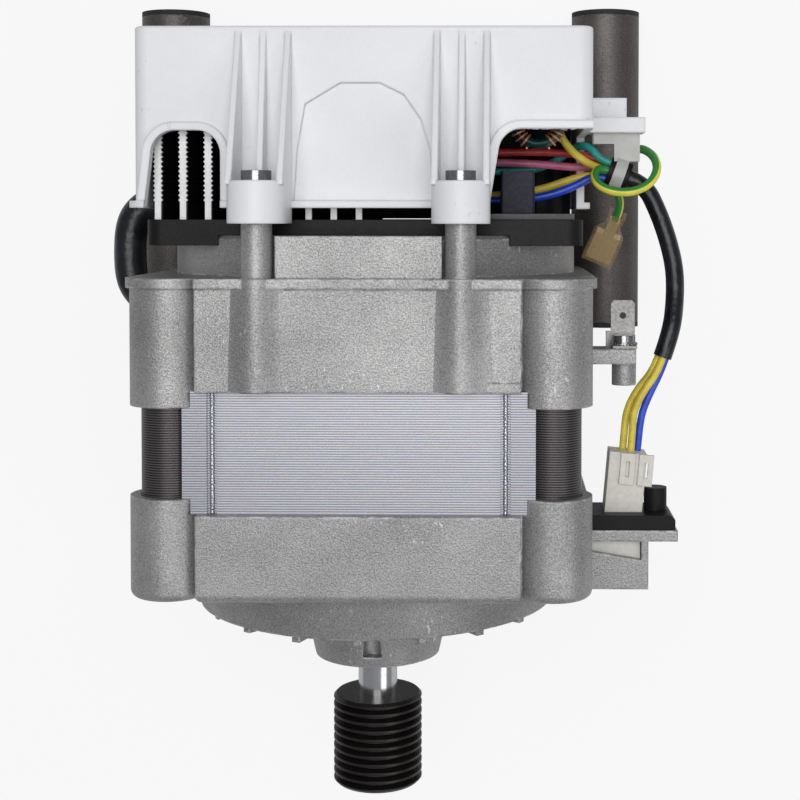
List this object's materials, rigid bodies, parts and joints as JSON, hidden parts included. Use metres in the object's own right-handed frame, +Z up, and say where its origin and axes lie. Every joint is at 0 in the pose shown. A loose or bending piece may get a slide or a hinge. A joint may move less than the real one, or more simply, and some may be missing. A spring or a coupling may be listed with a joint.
{
  "type": "washing machine motor",
  "caption": "Belt drive washing machine motor in two cast shields round a sheet stack, with electronics under a cover, mounting tubes, ribbed pulley and side connector.",
  "frame": {"origin": "middle of the belt pulley on the shaft axis", "axes": "+Y along the shaft from the pulley to the electronics, +X to the connector side, +Z up to the side seen in the picture; the motor lies on its back"},
  "size_m": [0.1632, 0.224, 0.1202],
  "materials": {
    "cast_aluminium": "grey as cast, lightly blasted",
    "lamination_steel": "sheet edges, light machine marks",
    "copper_winding": "enamelled wire",
    "screw_steel": "zinc plated",
    "bearing_steel": "ground",
    "cage_plastic": "moulded",
    "cage_aluminium": "cast",
    "bush_rubber": "moulded",
    "sleeve_steel": "drawn tube",
    "pulley_steel": "blackened and oiled",
    "magnet": "sintered",
    "white_plastic": "moulded, slightly yellowed",
    "black_plastic": "moulded",
    "ivory_plastic": "moulded",
    "board": "lacquered board",
    "core_coating": "coated",
    "capacitor_can": "sleeved can",
    "blue_plastic": "moulded",
    "earth_metal": "tinned",
    "chrome_screw": "bright plated",
    "clear_boot": "clear soft plastic",
    "black_sleeve": "shiny sleeve",
    "blue_wire": "insulation",
    "yellow_wire": "insulation",
    "pink_wire": "insulation",
    "red_wire": "insulation",
    "teal_wire": "insulation",
    "green_yellow_wire": "striped insulation"
  },
  "bodies": {
    "motor": {"bulk_capacitors": "capacitor_can", "bush_left_lower": "bush_rubber", "bush_left_upper": "bush_rubber", "bush_right_lower": "bush_rubber", "bush_right_upper": "bush_rubber", "cable_clip": "white_plastic", "choke_core": "core_coating", "choke_winding_left": "copper_winding", "choke_winding_right": "copper_winding", "circuit_board": "board", "connector_holder": "black_plastic", "cover_screws": "screw_steel", "drive_bearing_outer_ring": "bearing_steel", "drive_end_shield": "cast_aluminium", "earth_lead": "green_yellow_wire", "earth_receptacle": "earth_metal", "earth_screw": "chrome_screw", "earth_tab": "earth_metal", "electronics_cover": "white_plastic", "electronics_tray": "black_plastic", "film_capacitor": "blue_plastic", "filter_board": "board", "harness_cuff": "black_sleeve", "harness_plug": "ivory_plastic", "harness_sleeve": "black_sleeve", "heat_sink": "cage_aluminium", "machine_socket": "white_plastic", "phase_lead_sleeve": "black_sleeve", "plug_wire_blue": "blue_wire", "plug_wire_yellow": "yellow_wire", "plug_wire_yellow_rear": "yellow_wire", "power_module": "black_plastic", "rear_bearing_outer_ring": "bearing_steel", "rear_end_shield": "cast_aluminium", "receptacle_boot": "clear_boot", "sensor_coil": "copper_winding", "sleeve_left": "sleeve_steel", "sleeve_right": "sleeve_steel", "stator_stack": "lamination_steel", "stator_winding": "copper_winding", "tie_bolts": "screw_steel", "wave_washer": "bearing_steel", "wire_blue": "blue_wire", "wire_outlet": "ivory_plastic", "wire_pink": "pink_wire", "wire_red": "red_wire", "wire_teal": "teal_wire", "wire_yellow_lower": "yellow_wire", "wire_yellow_upper": "yellow_wire"},
    "rotor": {"shaft": "bearing_steel", "rotor_core": "lamination_steel", "rotor_cage": "cage_aluminium", "pulley": "pulley_steel", "drive_bearing_inner_ring": "bearing_steel", "rear_bearing_inner_ring": "bearing_steel", "speed_magnet": "magnet"},
    "drive_balls": {"drive_bearing_balls": "bearing_steel", "drive_bearing_cage": "cage_plastic"},
    "rear_balls": {"rear_bearing_balls": "bearing_steel", "rear_bearing_cage": "cage_plastic"}
  },
  "joints": [
    {"name": "rotor_spin", "type": "hinge", "parent": "motor", "child": "rotor", "pos_m": [0, 0, 0], "axis": [0, 1, 0], "continuous": true},
    {"name": "drive_ball_spin", "type": "hinge", "parent": "motor", "child": "drive_balls", "pos_m": [0, 0.0425, 0], "axis": [0, 1, 0], "continuous": true},
    {"name": "rear_ball_spin", "type": "hinge", "parent": "motor", "child": "rear_balls", "pos_m": [0, 0.1287, 0], "axis": [0, 1, 0], "continuous": true}
  ],
  "couplings": [
    {"joint": "drive_ball_spin", "follows": "rotor_spin", "ratio": 0.36652},
    {"joint": "rear_ball_spin", "follows": "rotor_spin", "ratio": 0.36652}
  ]
}
